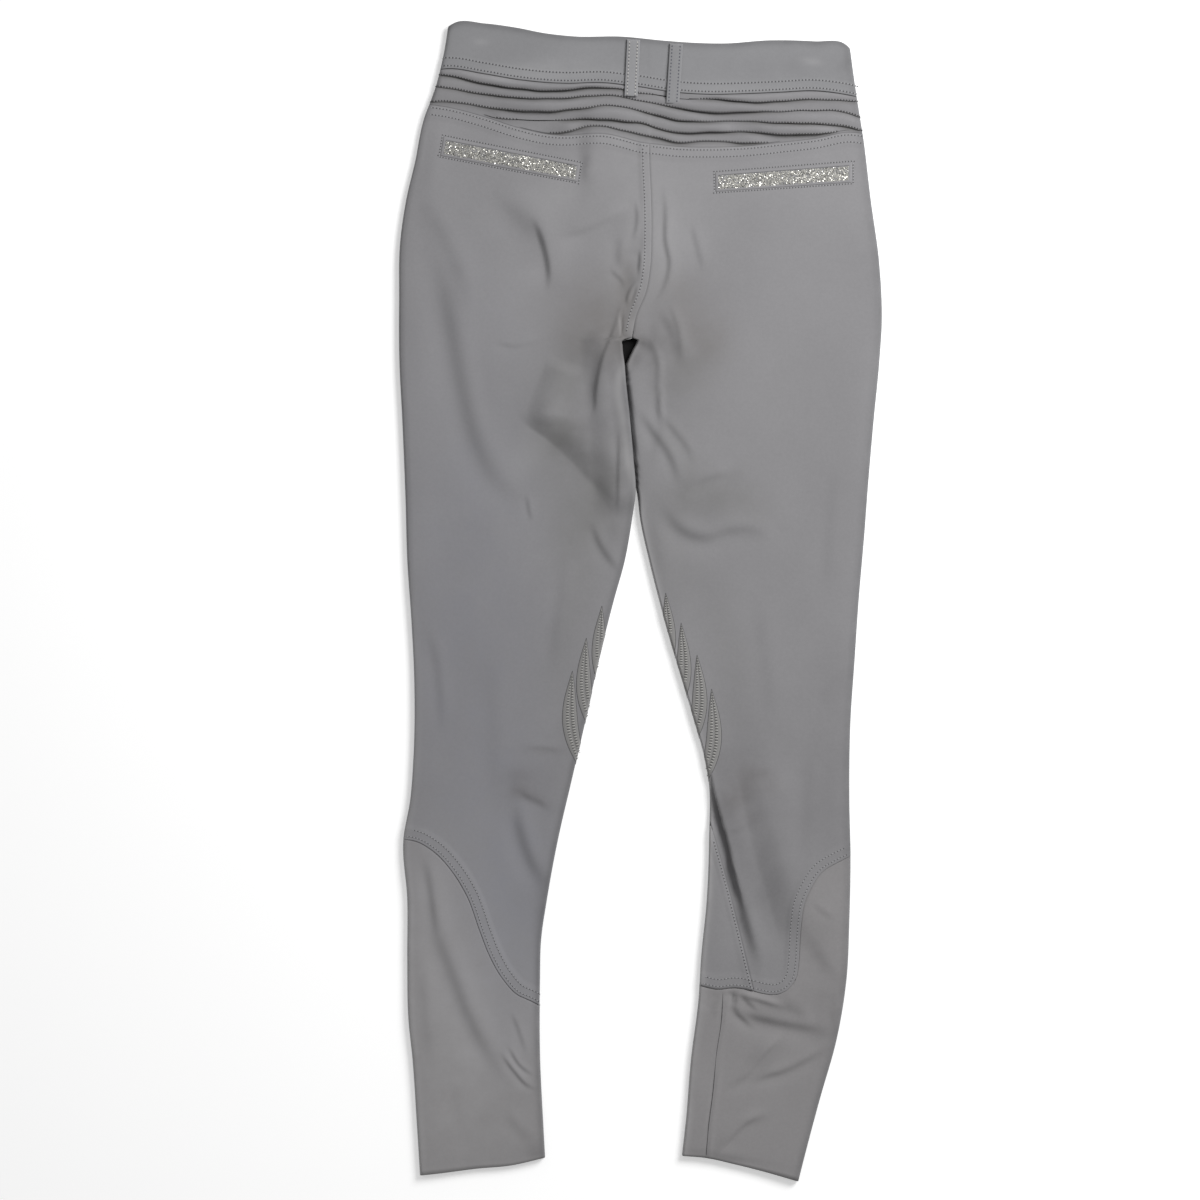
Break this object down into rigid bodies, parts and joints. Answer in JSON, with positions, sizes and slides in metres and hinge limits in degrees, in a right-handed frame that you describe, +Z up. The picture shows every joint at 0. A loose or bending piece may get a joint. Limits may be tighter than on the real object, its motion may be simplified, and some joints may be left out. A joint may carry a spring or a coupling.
{
  "type": "riding breeches laid flat",
  "caption": "Grey riding breeches laid flat with the back up, with a tucked yoke, glitter-edged pockets, stitched knee grips and stretch cuffs.",
  "frame": {"origin": "middle of the underside, on the surface that the breeches lie on", "axes": "+Y from the hems to the waist, +X to the wearer's right seen from behind, +Z up out of the back side"},
  "size_m": [0.4161, 0.9989, 0.012],
  "materials": {
    "breeches_cloth": "matte knitted stretch cloth, mid grey",
    "cuff_cloth": "thin matte stretch cloth, slightly warmer grey",
    "loop_cloth": "pressed matte cloth, light grey",
    "glitter_cloth": "silver glitter cloth"
  },
  "bodies": {
    "root": {"waistband_back": "breeches_cloth", "waistband_front_left": "breeches_cloth", "waistband_front_right": "breeches_cloth", "yoke_back": "breeches_cloth", "back_left": "breeches_cloth", "back_right": "breeches_cloth", "front_left": "breeches_cloth", "front_right": "breeches_cloth", "cuff_left": "cuff_cloth", "cuff_right": "cuff_cloth", "belt_loop_left": "loop_cloth", "belt_loop_right": "loop_cloth", "pocket_welt_left": "breeches_cloth", "pocket_welt_right": "breeches_cloth", "pocket_glitter_left": "glitter_cloth", "pocket_glitter_right": "glitter_cloth"}
  },
  "joints": []
}
